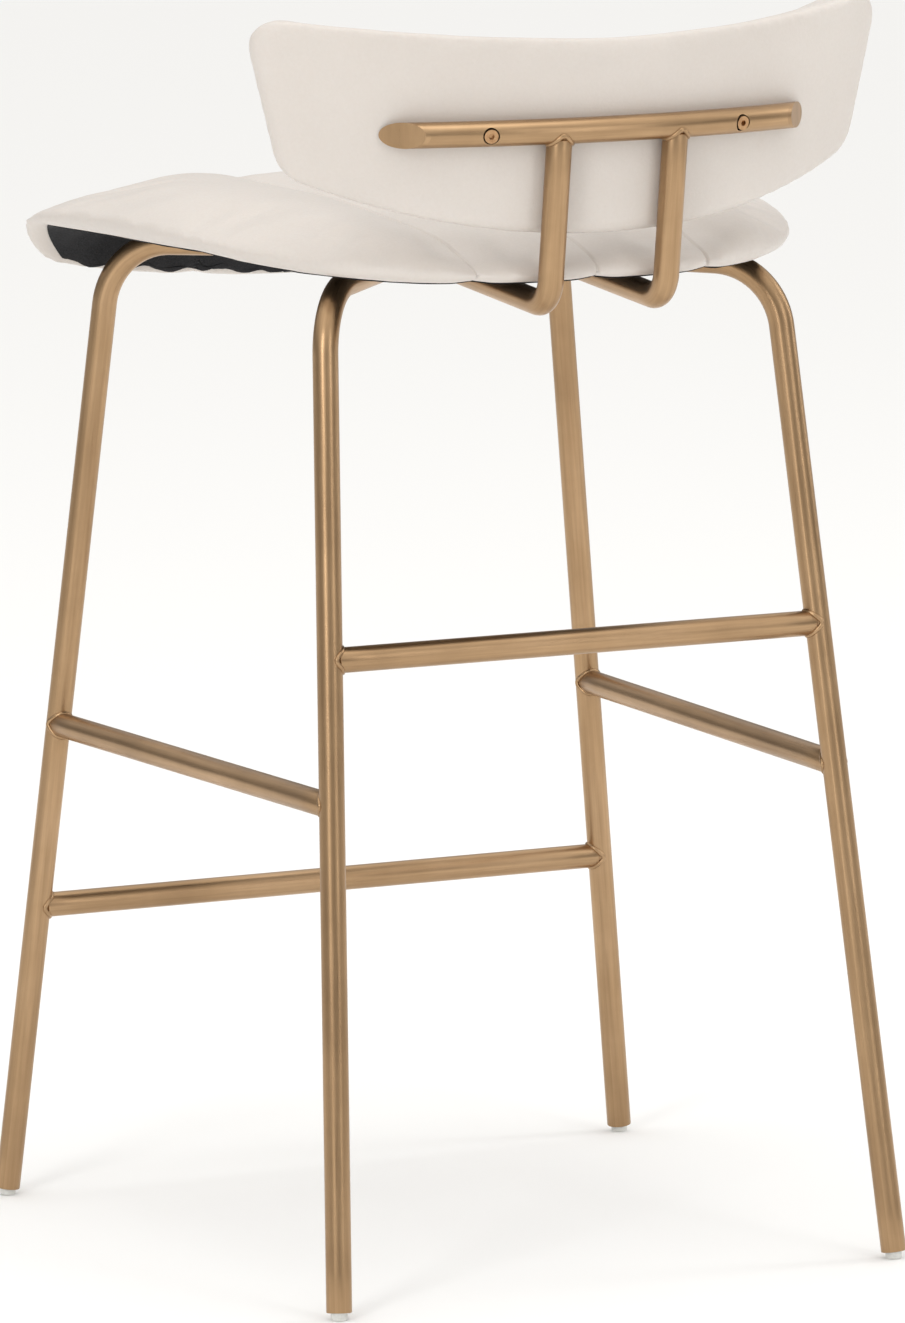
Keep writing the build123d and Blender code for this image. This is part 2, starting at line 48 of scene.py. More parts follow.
FOOT_Z = 5.5 * MM
HUB = Vector((0, -29.0, 748.8)) * MM
RUN_STOP = 34.0 * MM
LEG_BEND = 55.0 * MM
FRONT_FOOT = Vector((265.8, -273.4)) * MM
REAR_FOOT = Vector((229.3, 261.0)) * MM
FRONT_TOP = Vector((188.8, -221.0, 745.0)) * MM
REAR_TOP = Vector((184.9, 159.6, 742.5)) * MM
FOOTREST_Z = 228.5 * MM
SIDE_RAIL_Z = 371.0 * MM
REAR_RAIL_Z = 476.0 * MM

SUPPORT_X = 47.0 * MM
SUPPORT_BEND = 22.0 * MM
SUPPORT_RUN_Z = 736.5 * MM
SUPPORT_RUN_Y = 201.4 * MM
SUPPORT_RUN_SLOPE = 0.08
SUPPORT_END_Y = 33.0 * MM
LEAN = 0.154
BAR_Z = 862.5 * MM
BAR_Y = 273.4 * MM
BAR_RADIUS = 450.0 * MM

LEAN_COS = 1 / sqrt(1 + LEAN ** 2)
BACK_RADIUS = BAR_RADIUS * LEAN_COS - TUBE_R - 0.3 * MM
BACK_AXIS_Y = BAR_Y - BAR_RADIUS
BACK_THICKNESS = 38.0 * MM


# ---------------------------------------------------------------- camera, light and floor
FLOOR_HALF = 60


def add_camera():
    azimuth = radians(154.535)
    elevation = radians(8.503)
    roll = radians(-0.555)
    target = Vector((8.3, 0, 436.0)) * MM
    distance = 7.292
    back = Vector((sin(azimuth) * cos(elevation), -cos(azimuth) * cos(elevation), sin(elevation)))
    level = (-back).cross(Vector((0, 0, 1))).normalized()
    upright = back.cross(level)
    right = level * cos(roll) + upright * sin(roll)
    up = upright * cos(roll) - level * sin(roll)
    data = bpy.data.cameras.new("camera")
    data.sensor_width = 36.0
    data.lens = 261.99
    data.clip_end = 200.0
    camera = bpy.data.objects.new("camera", data)
    bpy.context.scene.collection.objects.link(camera)
    turn = Matrix((right, up, back)).transposed().to_4x4()
    camera.matrix_world = Matrix.Translation(target + back * distance) @ turn
    bpy.context.scene.camera = camera


def add_light(name, place, aim, size, power):
    data = bpy.data.lights.new(name, "AREA")
    data.shape = "RECTANGLE"
    data.size, data.size_y = size
    data.energy = power
    light = bpy.data.objects.new(name, data)
    bpy.context.scene.collection.objects.link(light)
    light.location = place
    light.rotation_euler = (Vector(aim) - Vector(place)).to_track_quat("-Z", "Y").to_euler()


def link_mesh(name, mesh):
    piece = bpy.data.objects.new(name, mesh)
    bpy.context.scene.collection.objects.link(piece)
    return piece


def new_material(name):
    material = bpy.data.materials.new(name)
    material.use_nodes = True
    return material, material.node_tree, material.node_tree.nodes["Principled BSDF"]


def add_stage():
    world = bpy.data.worlds.new("studio")
    bpy.context.scene.world = world
    world.use_nodes = True
    tree = world.node_tree
    sky = tree.nodes["Background"]
    height = tree.nodes.new("ShaderNodeSeparateXYZ")
    tree.links.new(coordinates(tree, "Generated"), height.inputs["Vector"])
    stops = [(0.0, (0.20, 0.195, 0.19)), (0.18, (0.25, 0.245, 0.24)), (0.75, (1.0, 0.99, 0.97))]
    tree.links.new(ramp(tree, height.outputs["Z"], stops), sky.inputs["Color"])
    sky.inputs["Strength"].default_value = 1.2
    mesh = bpy.data.meshes.new("floor")
    bm = bmesh.new()
    bmesh.ops.create_grid(bm, x_segments=8, y_segments=8, size=FLOOR_HALF)
    bm.to_mesh(mesh)
    bm.free()
    floor = link_mesh("floor", mesh)
    material, _, shader = new_material("pale_floor")
    shader.inputs["Base Color"].default_value = (0.93, 0.93, 0.925, 1)
    shader.inputs["Roughness"].default_value = 0.9
    mesh.materials.append(material)
    add_light("key", (4.4, 3.4, 2.6), (0, 0, 0.5), (1.3, 3.4), 80)
    add_light("fill", (-1.6, 5.2, 2.0), (0, 0, 0.5), (0.9, 3.0), 30)
    add_light("top", (0.0, 0.6, 4.6), (0, 0, 0.6), (3.0, 3.0), 30)
    add_light("rim", (-4.2, 0.6, 2.2), (0, 0, 0.6), (1.0, 3.0), 30)


# ---------------------------------------------------------------- materials
def ramp(tree, source, stops):
    node = tree.nodes.new("ShaderNodeValToRGB")
    elements = node.color_ramp.elements
    while len(elements) < len(stops):
        elements.new(0.5)
    for element, (place, colour) in zip(elements, stops):
        element.position = place
        element.color = (*colour, 1)
    tree.links.new(source, node.inputs["Fac"])
    return node.outputs["Color"]


def noise(tree, vector, scale, detail, rough=0.55):
    node = tree.nodes.new("ShaderNodeTexNoise")
    node.inputs["Scale"].default_value = scale
    node.inputs["Detail"].default_value = detail
    node.inputs["Roughness"].default_value = rough
    tree.links.new(vector, node.inputs["Vector"])
    return node.outputs["Fac"]


def stretch(tree, vector, scale):
    node = tree.nodes.new("ShaderNodeMapping")
    node.inputs["Scale"].default_value = scale
    tree.links.new(vector, node.inputs["Vector"])
    return node.outputs["Vector"]


def coordinates(tree, output):
    return tree.nodes.new("ShaderNodeTexCoord").outputs[output]


def bump(tree, shader, height, distance, strength, under=None):
    node = tree.nodes.new("ShaderNodeBump")
    node.inputs["Strength"].default_value = strength
    node.inputs["Distance"].default_value = distance
    tree.links.new(height, node.inputs["Height"])
    if under is not None:
        tree.links.new(under, node.inputs["Normal"])
    tree.links.new(node.outputs["Normal"], shader.inputs["Normal"])
    return node.outputs["Normal"]


def remap(tree, source, low, high):
    """Spreads the middle of a noise's range over low to high."""
    node = tree.nodes.new("ShaderNodeMapRange")
    node.inputs["From Min"].default_value = 0.3
    node.inputs["From Max"].default_value = 0.7
    node.inputs["To Min"].default_value = low
    node.inputs["To Max"].default_value = high
    tree.links.new(source, node.inputs["Value"])
    return node.outputs["Result"]


def mix_colour(tree, factor, first, second):
    """Mixes the colour of a socket, first, with a fixed colour, second."""
    node = tree.nodes.new("ShaderNodeMix")
    node.data_type = "RGBA"
    tree.links.new(factor, [s for s in node.inputs if s.name == "Factor" and s.type == "VALUE"][0])
    tree.links.new(first, [s for s in node.inputs if s.name == "A" and s.type == "RGBA"][0])
    socket = [s for s in node.inputs if s.name == "B" and s.type == "RGBA"][0]
    socket.default_value = (*second, 1)
    return [s for s in node.outputs if s.type == "RGBA"][0]


def brushed_brass(name, lengthwise=True):
    """Antique brass, brushed along the tube, whose UV runs in metres along and around it."""
    material, tree, shader = new_material(name)
    shader.inputs["Metallic"].default_value = 1.0
    shader.inputs["Anisotropic"].default_value = 0.35
    place = coordinates(tree, "UV" if lengthwise else "Object")
    fine_scale, broad_scale = ((14, 2600, 1), (9, 260, 1)) if lengthwise else ((900, 900, 30), (60, 60, 8))
    lines = noise(tree, stretch(tree, place, fine_scale), 1.0, 3)
    broad = noise(tree, stretch(tree, place, broad_scale), 1.0, 4)
    patina = noise(tree, coordinates(tree, "Object"), 7.0, 5, 0.6)
    stops = [(0.30, (0.38, 0.245, 0.135)), (0.52, (0.475, 0.31, 0.172)), (0.72, (0.56, 0.375, 0.22))]
    base = ramp(tree, patina, stops)
    streaked = mix_colour(tree, remap(tree, broad, 0.0, 0.55), base, (0.27, 0.170, 0.090))
    tree.links.new(streaked, shader.inputs["Base Color"])
    tree.links.new(remap(tree, lines, 0.27, 0.42), shader.inputs["Roughness"])
    bump(tree, shader, lines, 0.00004, 0.35)
    return material


def cream_leather():
    """Smooth coated leather with a fine pebble grain and slow tonal change."""
    material, tree, shader = new_material("cream_leather")
    place = coordinates(tree, "Object")
    shader.inputs["Specular IOR Level"].default_value = 0.42
    shader.inputs["Subsurface Weight"].default_value = 0.06
    shader.inputs["Subsurface Radius"].default_value = (0.004, 0.0025, 0.0018)
    shader.inputs["Sheen Weight"].default_value = 0.12
    shader.inputs["Sheen Roughness"].default_value = 0.5
    slow = noise(tree, place, 6.0, 3)
    fine = noise(tree, place, 420.0, 3)
    tone = ramp(tree, slow, [(0.3, (0.625, 0.575, 0.530)), (0.7, (0.675, 0.625, 0.580))])
    speckled = mix_colour(tree, remap(tree, fine, 0.0, 0.10), tone, (0.52, 0.45, 0.385))
    tree.links.new(speckled, shader.inputs["Base Color"])
    cells = tree.nodes.new("ShaderNodeTexVoronoi")
    cells.feature = "SMOOTH_F1"
    cells.inputs["Scale"].default_value = 620.0
    cells.inputs["Smoothness"].default_value = 0.6
    tree.links.new(place, cells.inputs["Vector"])
    tree.links.new(remap(tree, fine, 0.40, 0.52), shader.inputs["Roughness"])
    soft = bump(tree, shader, noise(tree, place, 24.0, 3), 0.0009, 0.35)
    bump(tree, shader, cells.outputs["Distance"], 0.00016, 0.5, soft)
    return material


def black_cloth():
    """Spun-bonded dust cloth: matt black fibres with a pressed dot pattern."""
    material, tree, shader = new_material("black_cloth")
    place = coordinates(tree, "Object")
    fibre = noise(tree, place, 900.0, 6, 0.7)
    dots = tree.nodes.new("ShaderNodeTexVoronoi")
    dots.inputs["Scale"].default_value = 700.0
    tree.links.new(place, dots.inputs["Vector"])
    colour = ramp(tree, fibre, [(0.35, (0.004, 0.004, 0.005)), (0.68, (0.026, 0.026, 0.029))])
    tree.links.new(colour, shader.inputs["Base Color"])
    shader.inputs["Roughness"].default_value = 0.92
    shader.inputs["Sheen Weight"].default_value = 0.06
    soft = bump(tree, shader, dots.outputs["Distance"], 0.0002, 0.5)
    bump(tree, shader, fibre, 0.00025, 0.6, soft)
    return material


def nylon():
    """Translucent white nylon of the glides."""
    material, tree, shader = new_material("nylon")
    place = coordinates(tree, "Object")
    cloud = noise(tree, place, 180.0, 4)
    colour = ramp(tree, cloud, [(0.3, (0.66, 0.66, 0.63)), (0.7, (0.78, 0.78, 0.75))])
    tree.links.new(colour, shader.inputs["Base Color"])
    shader.inputs["Subsurface Weight"].default_value = 0.4
    shader.inputs["Subsurface Radius"].default_value = (0.003, 0.003, 0.0028)
    tree.links.new(remap(tree, cloud, 0.38, 0.52), shader.inputs["Roughness"])
    bump(tree, shader, noise(tree, place, 900.0, 2), 0.00005, 0.4)
    return material


def plated(name, dark, light, rough):
    """Plated fastener steel with a slightly uneven finish."""
    material, tree, shader = new_material(name)
    place = coordinates(tree, "Object")
    shader.inputs["Metallic"].default_value = 1.0
    cloud = noise(tree, place, 240.0, 5)
    tree.links.new(ramp(tree, cloud, [(0.3, dark), (0.7, light)]), shader.inputs["Base Color"])
    tree.links.new(remap(tree, cloud, rough - 0.06, rough + 0.08), shader.inputs["Roughness"])
    bump(tree, shader, noise(tree, place, 1400.0, 3), 0.00003, 0.4)
    return material


def give(piece, material):
    piece.data.materials.clear()
    piece.data.materials.append(material)


# ---------------------------------------------------------------- tubes
RING = 48
BEAD_SIDES = 12
BEAD_R = 1.8 * MM


def bent_path(points, bend, step=0.004):
    """Points along straight runs joined by arcs of radius bend."""
    path = [points[0]]
    for before, corner, after in zip(points, points[1:], points[2:]):
        incoming = (before - corner).normalized()
        outgoing = (after - corner).normalized()
        half = incoming.angle(outgoing) / 2
        reach = bend / tan(half)
        centre = corner + (incoming + outgoing).normalized() * (bend / sin(half))
        start = corner + incoming * reach
        end = corner + outgoing * reach
        count = max(8, int(bend * (pi - 2 * half) / step))
        from_centre, to_centre = start - centre, end - centre
        sweep = from_centre.angle(to_centre)
        for k in range(count + 1):
            share = k / count
            blend = (from_centre * sin((1 - share) * sweep) + to_centre * sin(share * sweep)) / sin(sweep)
            path.append(centre + blend)
    path.append(points[-1])
    return path


def with_steps(path, step=0.03):
    """The same path with long runs divided, so that no face of a tube is very long."""
    fine = [path[0]]
    for a, b in zip(path, path[1:]):
        count = max(1, int((b - a).length / step))
        fine += [a.lerp(b, k / count) for k in range(1, count + 1)]
    return fine


def tube_mesh(name, path, open_start):
    """Round tube along path, with UVs in metres along and around it. An open start shows its wall
    and bore; a closed end is a flat disc with a softened rim."""
    radius, wall = TUBE_R, TUBE_WALL
    path = with_steps(path)
    tangents = [(b - a).normalized() for a, b in zip(path, path[1:])]
    between = [(a + b).normalized() for a, b in zip(tangents, tangents[1:])]
    tangents = [tangents[0], *between, tangents[-1]]
    side = tangents[0].orthogonal().normalized()
    travelled = 0.0
    rings = []
    for k, (place, tangent) in enumerate(zip(path, tangents)):
        if k:
            travelled += (place - path[k - 1]).length
        side = (side - tangent * side.dot(tangent)).normalized()
        rings.append((place, tangent, side, radius, travelled))
    rim = 0.0006

    def ending(ring, way, is_open):
        place, tangent, across, _, along = ring
        steps = [(rim * 0.3, radius - rim * 0.3), (0.0, radius - rim)]
        if is_open:
            steps += [(0.0, radius - wall + rim * 0.3), (0.004, radius - wall), (0.012, radius - wall)]
        made = []
        for depth, r in steps:
            made.append((place - tangent * way * depth, tangent, across, r, along + (radius - r) * way))
        return made

    first, last = rings[0], rings[-1]
    start = ending(first, -1, open_start)[::-1]
    end = ending(last, 1, False)
    rings[0] = (first[0] + first[1] * rim, *first[1:])
    rings[-1] = (last[0] - last[1] * rim, *last[1:])
    rings = start + rings + end
    bm = bmesh.new()
    uv = bm.loops.layers.uv.new("tube")
    loops = []
    for place, tangent, across, r, along in rings:
        other = tangent.cross(across)
        loops.append([
            bm.verts.new(place + (across * cos(2 * pi * k / RING) + other * sin(2 * pi * k / RING)) * r)
            for k in range(RING)
        ])
    around = 2 * pi * radius / RING
    for ring_a, ring_b, a, b in zip(rings, rings[1:], loops, loops[1:]):
        for k in range(RING):
            face = bm.faces.new((a[k], a[(k + 1) % RING], b[(k + 1) % RING], b[k]))
            face.smooth = True
            corners = ((ring_a[4], k), (ring_a[4], k + 1), (ring_b[4], k + 1), (ring_b[4], k))
            for loop, (along, turn) in zip(face.loops, corners):
                loop[uv].uv = (along, turn * around)
    for loop, flip in ((loops[0], True), (loops[-1], False)):
        face = bm.faces.new(loop[::-1] if flip else loop)
        for corner in face.loops:
            corner[uv].uv = (corner.vert.co.x * 0.02, corner.vert.co.y)
    bmesh.ops.recalc_face_normals(bm, faces=bm.faces)
    mesh = bpy.data.meshes.new(name)
    bm.to_mesh(mesh)
    bm.free()
    mesh.set_sharp_from_angle(angle=radians(50))
    return mesh


def leg_point(side, foot, top, z):
    share = (z - FOOT_Z) / (top.z - FOOT_Z)
    return Vector((side * (foot.x + (top.x - foot.x) * share), foot.y + (top.y - foot.y) * share, z))


def add_tube(name, path, brass, node, open_start=False):
    piece = link_mesh(name, tube_mesh(name, path, open_start))
    give(piece, brass)
    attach(piece, "root")
    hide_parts(node)


def add_frame(brass):
    ends = {"front": (FRONT_FOOT, FRONT_TOP), "rear": (REAR_FOOT, REAR_TOP)}
    for row, (foot, top) in ends.items():
        for hand, side in (("left", 1), ("right", -1)):
            corner = Vector((side * top.x, top.y, top.z))
            flat = Vector((HUB.x - corner.x, HUB.y - corner.y, 0))
            inner = corner + flat * (1 - RUN_STOP / flat.length)
            inner.z = HUB.z
            path = bent_path([leg_point(side, foot, top, FOOT_Z), corner, inner], LEG_BEND)
            add_tube(f"tube_leg_{row}_{hand}", path, brass, f"leg_{row}_{hand}", open_start=True)
    rails = {
        "footrest_bar": (FRONT_FOOT, FRONT_TOP, 1, FRONT_FOOT, FRONT_TOP, -1, FOOTREST_Z),
        "side_rail_left": (FRONT_FOOT, FRONT_TOP, 1, REAR_FOOT, REAR_TOP, 1, SIDE_RAIL_Z),
        "side_rail_right": (FRONT_FOOT, FRONT_TOP, -1, REAR_FOOT, REAR_TOP, -1, SIDE_RAIL_Z),
        "rear_rail": (REAR_FOOT, REAR_TOP, 1, REAR_FOOT, REAR_TOP, -1, REAR_RAIL_Z),
    }
    for node, (foot_a, top_a, side_a, foot_b, top_b, side_b, z) in rails.items():
        a = leg_point(side_a, foot_a, top_a, z)
        b = leg_point(side_b, foot_b, top_b, z)
        sunk = (b - a).normalized() * TUBE_R * 0.5
        add_tube(f"tube_{node}", [a + sunk, b - sunk], brass, node)
    return rails


def add_supports(brass):
    """J-shaped tubes from under the seat up to the cross bar."""
    drop = BAR_RADIUS - sqrt(BAR_RADIUS ** 2 - SUPPORT_X ** 2)
    top_y = BAR_Y - drop
    # where the leaning upright meets the gently sloping run
    run_level = SUPPORT_RUN_Z + SUPPORT_RUN_SLOPE * SUPPORT_RUN_Y
    corner_y = (top_y + LEAN * (run_level - BAR_Z)) / (1 + LEAN * SUPPORT_RUN_SLOPE)
    corner_z = SUPPORT_RUN_Z + SUPPORT_RUN_SLOPE * (SUPPORT_RUN_Y - corner_y)
    end_z = SUPPORT_RUN_Z + SUPPORT_RUN_SLOPE * (SUPPORT_RUN_Y - SUPPORT_END_Y)
    for hand, side in (("left", 1), ("right", -1)):
        x = side * SUPPORT_X
        head = Vector((x, top_y - LEAN * TUBE_R * 0.5, BAR_Z - TUBE_R * 0.5))
        points = [head, Vector((x, corner_y, corner_z)), Vector((x, SUPPORT_END_Y, end_z))]
        path = bent_path(points, SUPPORT_BEND, 0.002)
        add_tube(f"tube_support_{hand}", path, brass, f"back_support_{hand}")


def bead_rings(bm, start, along, leg_place, leg_way):
    """A weld bead where a tube of radius TUBE_R, from start along a direction, meets another one."""
    count = RING
    across = along.orthogonal().normalized()
    other = along.cross(across)
    line = []
    for k in range(count):
        turn = 2 * pi * k / count
        offset = (across * cos(turn) + other * sin(turn)) * TUBE_R
        # where this line of the tube leaves the other tube
        gap = start + offset - leg_place
        gap -= leg_way * gap.dot(leg_way)
        way = along - leg_way * along.dot(leg_way)
        a, b, c = way.dot(way), 2 * gap.dot(way), gap.dot(gap) - TUBE_R ** 2
        root = sqrt(max(b * b - 4 * a * c, 0))
        line.append(start + offset + along * ((-b + root) / (2 * a)))
    for _ in range(3):
        line = [(line[k - 1] + line[k] * 2 + line[(k + 1) % count]) / 4 for k in range(count)]
    rings = []
    for k, place in enumerate(line):
        tangent = (line[(k + 1) % count] - line[k - 1]).normalized()
        out = (place - start - along * (place - start).dot(along)).normalized()
        out = (out - tangent * out.dot(tangent)).normalized()
        side = tangent.cross(out)
        ripple = 1 + 0.06 * sin(k * 2.6)
        turns = np.linspace(0, 2 * pi, BEAD_SIDES, endpoint=False)
        round_it = [place + (out * cos(v) + side * sin(v)) * BEAD_R * ripple for v in turns]
        rings.append([bm.verts.new(point) for point in round_it])
    for k in range(count):
        a, b = rings[k], rings[(k + 1) % count]
        for j in range(BEAD_SIDES):
            n = (j + 1) % BEAD_SIDES
            bm.faces.new((a[j], a[n], b[n], b[j])).smooth = True


def bead_piece(name, joints, brass, node):
    bm = bmesh.new()
    for joint in joints:
        bead_rings(bm, *joint)
    bmesh.ops.recalc_face_normals(bm, faces=bm.faces)
    mesh = bpy.data.meshes.new(name)
    bm.to_mesh(mesh)
    bm.free()
    piece = link_mesh(name, mesh)
    give(piece, brass)
    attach(piece, "root")
    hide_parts(node)


def add_welds(brass, rails):
    joints = []
    for foot_a, top_a, side_a, foot_b, top_b, side_b, z in rails.values():
        a, b = leg_point(side_a, foot_a, top_a, z), leg_point(side_b, foot_b, top_b, z)
        for place, far, foot, top, side in ((a, b, foot_a, top_a, side_a), (b, a, foot_b, top_b, side_b)):
            way = (leg_point(side, foot, top, 2 * z) - place).normalized()
            joints.append((place, (far - place).normalized(), place, way))
    bead_piece("weld_rails", joints, brass, "rail_welds")
    joints = []
    for side in (1, -1):
        x = side * SUPPORT_X
        place = Vector((x, BAR_Y - BAR_RADIUS + sqrt(BAR_RADIUS ** 2 - x ** 2), BAR_Z))
        way = Vector((BAR_RADIUS, -x * BAR_RADIUS / sqrt(BAR_RADIUS ** 2 - x ** 2), 0)).normalized()
        joints.append((place, Vector((0, -LEAN, -1)).normalized(), place, way))
    bead_piece("weld_supports", joints, brass, "support_welds")


def add_bar(brass):
    """The cross bar keeps its CAD shape, with the bolt pockets, and gets UVs along its curve."""
    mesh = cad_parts["back_bar"].data.copy()
    uv = mesh.uv_layers.new(name="tube")
    for loop in mesh.loops:
        place = mesh.vertices[loop.vertex_index].co
        turn = np.arctan2(place.x, place.y - BACK_AXIS_Y)
        out = sqrt(place.x ** 2 + (place.y - BACK_AXIS_Y) ** 2) - BAR_RADIUS
        uv.data[loop.index].uv = (turn * BAR_RADIUS, np.arctan2(place.z - BAR_Z, out) * TUBE_R)
    piece = link_mesh("tube_back_bar", mesh)
    give(piece, brass)
    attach(piece, "root")
    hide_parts("back_bar")


# ---------------------------------------------------------------- soft forms
AIR_PRESSURE = 4.0
PUFF_FRAMES = 20
PUFF_CAP = 6 * MM


def smooth_step(value):
    value = np.clip(value, 0, 1)
    return value * value * (3 - 2 * value)


def two_sided_mesh(name, outline, inner, upper, lower, rings=46):
    """Closed form between two surfaces over a plan outline, made of rings from inner out to the
    outline. Upper and lower give a point for each plan place and its distance to the outline."""
    count = len(outline)
    shares = 1 - (1 - np.linspace(0, 1, rings)) ** 1.7
    reach = np.linalg.norm(outline - inner, axis=1)
    points = []
    for share in shares[1:]:
        plan = inner + (outline - inner) * share
        points.append((plan, reach * (1 - share)))
    verts = []
    for surface in (upper, lower):
        verts.append(surface(np.array([inner]), np.array([reach.min()])))
        for k, (plan, gap) in enumerate(points):
            if surface is lower and k == len(points) - 1:
                continue
            verts.append(surface(plan, gap))
    verts = np.concatenate(verts)
    rows = rings - 1
    faces = []
    start_low = 1 + rows * count

    def ring(side, k):
        if side == 0:
            return 1 + k * count
        return start_low + 1 + k * count if k < rows - 1 else 1 + k * count

    for side in (0, 1):
        hub = 0 if side == 0 else start_low
        for j in range(count):
            n = (j + 1) % count
            tri = (hub, ring(side, 0) + j, ring(side, 0) + n)
            faces.append(tri if side == 0 else tri[::-1])
            for k in range(rows - 1):
                a, b = ring(side, k), ring(side, k + 1)
                quad = (a + j, b + j, b + n, a + n)
                faces.append(quad if side == 0 else quad[::-1])
    mesh = bpy.data.meshes.new(name)
    mesh.from_pydata([tuple(v) for v in verts], [], faces)
    mesh.validate()
    return mesh


def positions(mesh):
    co = np.empty(len(mesh.vertices) * 3)
    mesh.vertices.foreach_get("co", co)
    return co.reshape(-1, 3)


def normals(mesh):
    values = np.empty(len(mesh.vertices) * 3, np.float32)
    mesh.vertex_normals.foreach_get("vector", values)
    return values.reshape(-1, 3).astype(float)


def put(mesh, co):
    mesh.vertices.foreach_set("co", co.astype(np.float32).ravel())
    mesh.update()


def apply_modifiers(piece):
    graph = bpy.context.evaluated_depsgraph_get()
    mesh = bpy.data.meshes.new_from_object(piece.evaluated_get(graph))
    piece.modifiers.clear()
    old = piece.data
    piece.data = mesh
    bpy.data.meshes.remove(old)


def remesh(piece, size):
    step = piece.modifiers.new("remesh", "REMESH")
    step.mode = "VOXEL"
    step.voxel_size = size
    apply_modifiers(piece)


def puff(piece, held):
    """Swells the piece as cloth under air pressure. held marks the vertices that stay."""
    scene = bpy.context.scene
    before = positions(piece.data)
    group = piece.vertex_groups.new(name="held")
    group.add([int(k) for k in np.nonzero(held)[0]], 1.0, "REPLACE")
    cloth = piece.modifiers.new("cloth", "CLOTH")
    settings = cloth.settings
    settings.quality = 5
    settings.mass = 0.3
    settings.use_pressure = True
    settings.uniform_pressure_force = AIR_PRESSURE
    settings.tension_stiffness = 25
    settings.compression_stiffness = 25
    settings.bending_stiffness = 2
    settings.vertex_group_mass = "held"
    settings.effector_weights.gravity = 0
    cloth.point_cache.frame_start = 1
    cloth.point_cache.frame_end = PUFF_FRAMES
    for number in range(1, PUFF_FRAMES + 1):
        scene.frame_set(number)
    apply_modifiers(piece)
    scene.frame_set(1)
    piece.vertex_groups.clear()
    moved = positions(piece.data) - before
    length = np.linalg.norm(moved, axis=1)
    limit = PUFF_CAP * np.tanh(length / PUFF_CAP)
    put(piece.data, before + moved * (limit / np.maximum(length, 1e-9))[:, None])


def subdivide(piece):
    """Irons the voxel steps out, then doubles the mesh."""
    even = piece.modifiers.new("even", "SMOOTH")
    even.factor = 0.5
    even.iterations = 5
    step = piece.modifiers.new("subdivision", "SUBSURF")
    step.levels = 1
    step.render_levels = 1
    apply_modifiers(piece)


def refine(piece, distance, band, passes=2):
    """Divides the faces near a seam, so that its groove has enough points."""
    bm = bmesh.new()
    bm.from_mesh(piece.data)
    for k in range(passes):
        width = band * (1 if k == 0 else 0.6)
        centres = np.array([face.calc_center_median() for face in bm.faces])
        near = np.abs(distance(centres)) < width
        faces = [face for face, is_near in zip(bm.faces, near) if is_near]
        edges = list({edge for face in faces for edge in face.edges})
        bmesh.ops.subdivide_edges(bm, edges=edges, cuts=1, use_grid_fill=True)
    bm.to_mesh(piece.data)
    bm.free()
    for polygon in piece.data.polygons:
        polygon.use_smooth = True
    piece.data.update()


def groove(piece, distance, depth, width, dip, dip_width):
    """A sewn seam: a narrow groove in the middle of a soft dip."""
    co = positions(piece.data)
    gap = distance(co)
    amount = depth * np.exp(-(gap / width) ** 2) + dip * np.exp(-(gap / dip_width) ** 2)
    put(piece.data, co - normals(piece.data) * amount[:, None])


# ---------------------------------------------------------------- seat
SEAT_HALF = 255.7 * MM
SEAT_TAPER = 17.5 * MM
SEAT_MIDDLE_Y = -93.7 * MM
SEAT_FRONT_Y = -269.7 * MM
SEAT_REAR_Y = 242.2 * MM
FRONT_SQUARE = 6.0
REAR_SQUARE = 2.9
SEAT_LEVEL = 765.0 * MM
UNDER_LEVEL = 763.6 * MM
SEAT_EDGE = 13.8 * MM
SIDE_ROUND = 73.0 * MM
REAR_ROUND = 17.0 * MM
WATERFALL_START = -160.0 * MM
WATERFALL_DROP = 60.0 * MM
WING_PUFF = 6.0 * MM
CORNER_SPREAD = 55.0 * MM
CORNER_DROP = 15.0 * MM
NOSE_DIP = 39.0 * MM
HEM_RISE = 22.0 * MM
SEAT_VOXEL = 4.5 * MM
SEAT_SLACK = 1.5 * MM
CLOTH_INSET = 14 * MM
LIP_REAR = -208.0 * MM
LIP_FRONT = -243.0 * MM
LIP_LOW = 709.0 * MM
SEAM_REAR = 94.0 * MM
SEAM_FRONT = 109.0 * MM


def seat_outline(count=360, inset=0.0, front_square=FRONT_SQUARE):
    """Plan outline of the cushion: squarer at the front, rounder and narrower at the rear."""
    turn = np.linspace(0, 2 * pi, count, endpoint=False)
    turn = turn - 0.22 * np.sin(4 * turn)
    c, s = np.cos(turn), np.sin(turn)
    square = np.where(s > 0, REAR_SQUARE, front_square)
    depth = np.where(s > 0, SEAT_REAR_Y - SEAT_MIDDLE_Y, SEAT_MIDDLE_Y - SEAT_FRONT_Y) - inset
    ex = np.sign(c) * np.abs(c) ** (2 / square)
    ey = np.sign(s) * np.abs(s) ** (2 / square)
    return np.stack([(SEAT_HALF - inset - SEAT_TAPER * ey) * ex, SEAT_MIDDLE_Y + depth * ey], 1)


def front_corner(x, y):
    """1 at the two front corners of the outline, falling to 0 a hand's width away."""
    away = (SEAT_HALF + SEAT_TAPER - np.abs(x)) ** 2 + (y - SEAT_FRONT_Y) ** 2
    return np.exp(-away / (2 * CORNER_SPREAD ** 2))


def seat_base(x, y):
    """Height that the cushion's thickness is measured from: level, and falling to the rear."""
    behind = np.maximum(0, y + 41.3 * MM)
    fall = 0.092 * (np.sqrt(behind ** 2 + (60 * MM) ** 2) - 60 * MM)
    return SEAT_LEVEL - fall + 0.7 * MM * (x / SEAT_HALF) ** 2


